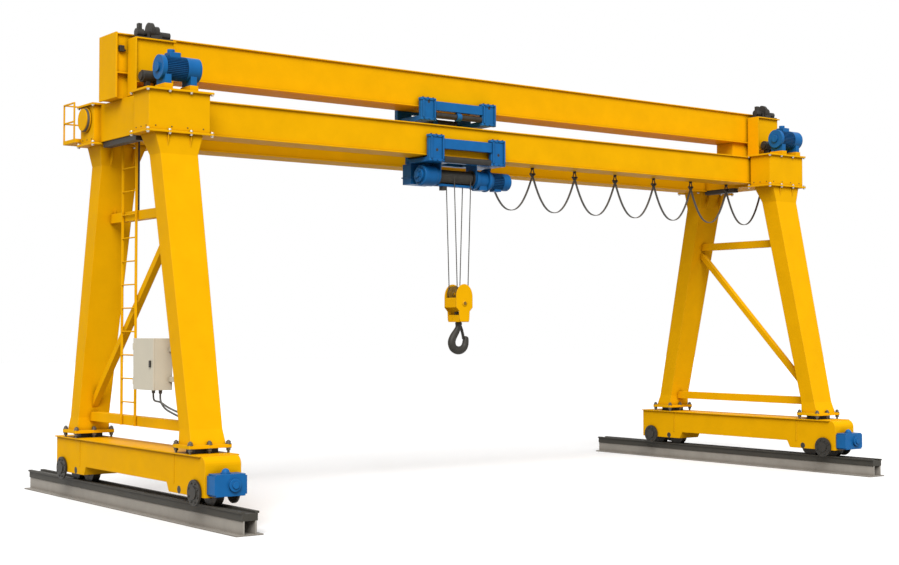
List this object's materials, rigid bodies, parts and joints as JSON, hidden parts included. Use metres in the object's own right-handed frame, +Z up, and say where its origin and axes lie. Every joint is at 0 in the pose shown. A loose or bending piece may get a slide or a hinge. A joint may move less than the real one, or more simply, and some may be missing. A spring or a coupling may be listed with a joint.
{
  "type": "gantry crane",
  "caption": "Travelling gantry crane on twin track beams: tapered legs, box girders, hoist trolley with rope drum, hook block and swivel hook, festoon cable.",
  "frame": {"origin": "on the floor under the track beams, midway between them and at the middle of their length", "axes": "+X along the span, +Y along the track away from the picture's viewer, +Z up"},
  "size_m": [12.09, 6.2, 6.074],
  "materials": {
    "yellow": "semi-gloss",
    "blue": "semi-gloss",
    "dark": "satin",
    "grey": "matt",
    "cap": "matt",
    "beige": "satin",
    "rubber": "matt",
    "rope": "satin",
    "forged": "satin"
  },
  "bodies": {
    "track": {"rail_beams": "grey", "rail_caps": "cap"},
    "trolley": {"trolley_frame": "blue", "trolley_bars": "dark", "hoist_gearbox": "blue", "hoist_motor": "blue", "control_box": "blue", "hoist_rope": "rope"},
    "upper_trolley": {"upper_trolley": "blue", "upper_bars": "dark"},
    "wheel_left_1": {"wheel_left_1": "dark"},
    "wheel_left_2": {"wheel_left_2": "dark"},
    "wheel_left_3": {"wheel_left_3": "dark"},
    "wheel_left_4": {"wheel_left_4": "dark"},
    "wheel_right_1": {"wheel_right_1": "dark"},
    "wheel_right_2": {"wheel_right_2": "dark"},
    "wheel_right_3": {"wheel_right_3": "dark"},
    "wheel_right_4": {"wheel_right_4": "dark"},
    "rope_drum": {"rope_drum": "dark"},
    "trolley_rollers_left": {"trolley_rollers_left": "dark"},
    "trolley_rollers_right": {"trolley_rollers_right": "dark"},
    "upper_rollers_left": {"upper_rollers_left": "dark"},
    "upper_rollers_right": {"upper_rollers_right": "dark"},
    "sheave_front": {"sheave_front": "dark"},
    "sheave_rear": {"sheave_rear": "dark"},
    "hook": {"hook": "forged"},
    "cabinet_door": {"cabinet_door": "beige"},
    "hook_block": {"hook_block": "yellow"},
    "crane": {"carriage_left": "yellow", "carriage_right": "yellow", "travel_gearboxes": "blue", "leg_pedestals": "dark", "leg_left_near": "yellow", "leg_left_far": "yellow", "leg_right_near": "yellow", "leg_right_far": "yellow", "lower_ties": "yellow", "upper_ties": "yellow", "diagonals": "yellow", "head_beam_left": "yellow", "head_beam_right": "yellow", "front_girder": "yellow", "rear_girder": "yellow", "upper_girder": "yellow", "drive_brackets": "yellow", "drive_brakes": "dark", "drive_cylinders": "dark", "drive_motors": "blue", "ladder": "yellow", "cabinet": "beige", "cabinet_hoses": "rubber", "platform": "yellow", "cable_reel": "yellow", "reel_cable": "rubber", "cable_trays": "dark", "festoon_carriers": "dark", "festoon_cable": "rubber"}
  },
  "joints": [
    {"name": "crane_travel", "type": "slide", "parent": "track", "child": "crane", "axis": [0, 1, 0], "range_m": [-0.4, 1.25]},
    {"name": "trolley_travel", "type": "slide", "parent": "crane", "child": "trolley", "axis": [1, 0, 0], "range_m": [-3.3, 2.9], "deforming": ["festoon_cable", "festoon_carriers"]},
    {"name": "upper_trolley_travel", "type": "slide", "parent": "crane", "child": "upper_trolley", "axis": [1, 0, 0], "range_m": [-3.3, 2.9]},
    {"name": "hoist", "type": "slide", "parent": "trolley", "child": "hook_block", "axis": [0, 0, 1], "range_m": [-1.85, 1.05], "deforming": ["hoist_rope"]},
    {"name": "hook_swivel", "type": "hinge", "parent": "hook_block", "child": "hook", "pos_m": [-0.81, -0.72, 2.425], "axis": [0, 0, 1], "continuous": true},
    {"name": "drum_turn", "type": "hinge", "parent": "trolley", "child": "rope_drum", "pos_m": [-0.86, -0.72, 4.426], "axis": [1, 0, 0], "range_deg": [-3600, 3600]},
    {"name": "sheave_front_turn", "type": "hinge", "parent": "hook_block", "child": "sheave_front", "pos_m": [-0.81, -0.815, 2.77], "axis": [0, 1, 0], "range_deg": [-3600, 3600]},
    {"name": "sheave_rear_turn", "type": "hinge", "parent": "hook_block", "child": "sheave_rear", "pos_m": [-0.81, -0.625, 2.77], "axis": [0, 1, 0], "range_deg": [-3600, 3600]},
    {"name": "cabinet_door_swing", "type": "hinge", "parent": "crane", "child": "cabinet_door", "pos_m": [-5.76, -0.66, 1.85], "axis": [0, 0, -1], "range_deg": [0, 110]},
    {"name": "wheel_left_1_roll", "type": "hinge", "parent": "crane", "child": "wheel_left_1", "pos_m": [-5.5, -2.26, 0.4163], "axis": [1, 0, 0], "range_deg": [-720, 720]},
    {"name": "wheel_left_2_roll", "type": "hinge", "parent": "crane", "child": "wheel_left_2", "pos_m": [-5.5, -1.84, 0.4163], "axis": [1, 0, 0], "range_deg": [-720, 720]},
    {"name": "wheel_left_3_roll", "type": "hinge", "parent": "crane", "child": "wheel_left_3", "pos_m": [-5.5, 1.14, 0.4163], "axis": [1, 0, 0], "range_deg": [-720, 720]},
    {"name": "wheel_left_4_roll", "type": "hinge", "parent": "crane", "child": "wheel_left_4", "pos_m": [-5.5, 1.56, 0.4163], "axis": [1, 0, 0], "range_deg": [-720, 720]},
    {"name": "wheel_right_1_roll", "type": "hinge", "parent": "crane", "child": "wheel_right_1", "pos_m": [5.5, -2.26, 0.4163], "axis": [1, 0, 0], "range_deg": [-720, 720]},
    {"name": "wheel_right_2_roll", "type": "hinge", "parent": "crane", "child": "wheel_right_2", "pos_m": [5.5, -1.84, 0.4163], "axis": [1, 0, 0], "range_deg": [-720, 720]},
    {"name": "wheel_right_3_roll", "type": "hinge", "parent": "crane", "child": "wheel_right_3", "pos_m": [5.5, 1.14, 0.4163], "axis": [1, 0, 0], "range_deg": [-720, 720]},
    {"name": "wheel_right_4_roll", "type": "hinge", "parent": "crane", "child": "wheel_right_4", "pos_m": [5.5, 1.56, 0.4163], "axis": [1, 0, 0], "range_deg": [-720, 720]},
    {"name": "trolley_rollers_left_roll", "type": "hinge", "parent": "trolley", "child": "trolley_rollers_left", "pos_m": [-1.405, -0.72, 4.7573], "axis": [0, 1, 0], "range_deg": [-7200, 7200]},
    {"name": "trolley_rollers_right_roll", "type": "hinge", "parent": "trolley", "child": "trolley_rollers_right", "pos_m": [-0.315, -0.72, 4.7573], "axis": [0, 1, 0], "range_deg": [-7200, 7200]},
    {"name": "upper_rollers_left_roll", "type": "hinge", "parent": "upper_trolley", "child": "upper_rollers_left", "pos_m": [-1.225, -0.24, 5.5013], "axis": [0, 1, 0], "range_deg": [-7200, 7200]},
    {"name": "upper_rollers_right_roll", "type": "hinge", "parent": "upper_trolley", "child": "upper_rollers_right", "pos_m": [-0.135, -0.24, 5.5013], "axis": [0, 1, 0], "range_deg": [-7200, 7200]}
  ],
  "couplings": [
    {"joint": "upper_trolley_travel", "follows": "trolley_travel", "ratio": 1},
    {"joint": "drum_turn", "follows": "hoist", "rad_per_m": -21.053},
    {"joint": "sheave_front_turn", "follows": "hoist", "rad_per_m": 10},
    {"joint": "sheave_rear_turn", "follows": "hoist", "rad_per_m": 10},
    {"joint": "wheel_left_1_roll", "follows": "crane_travel", "rad_per_m": -5.8823},
    {"joint": "wheel_left_2_roll", "follows": "crane_travel", "rad_per_m": -5.8823},
    {"joint": "wheel_left_3_roll", "follows": "crane_travel", "rad_per_m": -5.8823},
    {"joint": "wheel_left_4_roll", "follows": "crane_travel", "rad_per_m": -5.8823},
    {"joint": "wheel_right_1_roll", "follows": "crane_travel", "rad_per_m": -5.8823},
    {"joint": "wheel_right_2_roll", "follows": "crane_travel", "rad_per_m": -5.8823},
    {"joint": "wheel_right_3_roll", "follows": "crane_travel", "rad_per_m": -5.8823},
    {"joint": "wheel_right_4_roll", "follows": "crane_travel", "rad_per_m": -5.8823},
    {"joint": "trolley_rollers_left_roll", "follows": "trolley_travel", "rad_per_m": 18.182},
    {"joint": "trolley_rollers_right_roll", "follows": "trolley_travel", "rad_per_m": 18.182},
    {"joint": "upper_rollers_left_roll", "follows": "trolley_travel", "rad_per_m": 18.182},
    {"joint": "upper_rollers_right_roll", "follows": "trolley_travel", "rad_per_m": 18.182}
  ]
}
